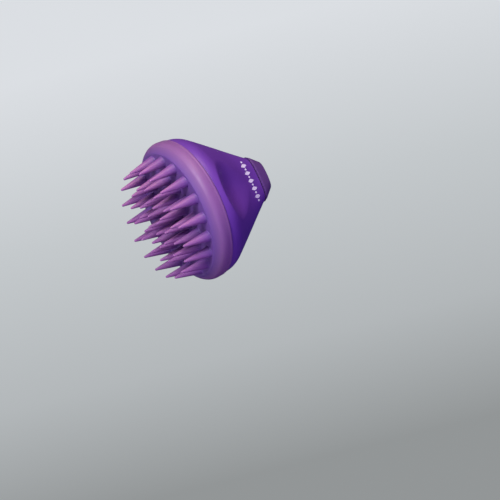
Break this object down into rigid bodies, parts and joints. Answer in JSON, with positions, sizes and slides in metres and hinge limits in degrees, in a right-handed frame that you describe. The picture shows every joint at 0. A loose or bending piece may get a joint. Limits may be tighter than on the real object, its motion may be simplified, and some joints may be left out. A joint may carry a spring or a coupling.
{
  "type": "rubber curry comb",
  "caption": "Palm-held rubber curry comb: a round soft pad of long cone-shaped teeth with a thick rim, under a hollow violet handle that narrows to a bevelled cap.",
  "frame": {"origin": "on the brush's axis, in the plane of the tooth tips", "axes": "+Z from the tooth tips to the cap, +X along the wide side of the handle's neck, +Y through the two thumb dishes"},
  "size_m": [0.0848, 0.0848, 0.0785],
  "materials": {
    "pad_rubber": "soft satin rubber",
    "plate_plastic": "moulded, not seen in use",
    "handle_plastic": "smooth satin gloss",
    "cap_plastic": "smooth satin gloss",
    "screw_steel": "zinc plated"
  },
  "bodies": {
    "root": {"tooth_pad": "pad_rubber", "backing_plate": "plate_plastic", "handle_shell": "handle_plastic", "top_cap": "cap_plastic", "screw_1": "screw_steel", "screw_2": "screw_steel", "screw_3": "screw_steel", "screw_4": "screw_steel"}
  },
  "joints": []
}
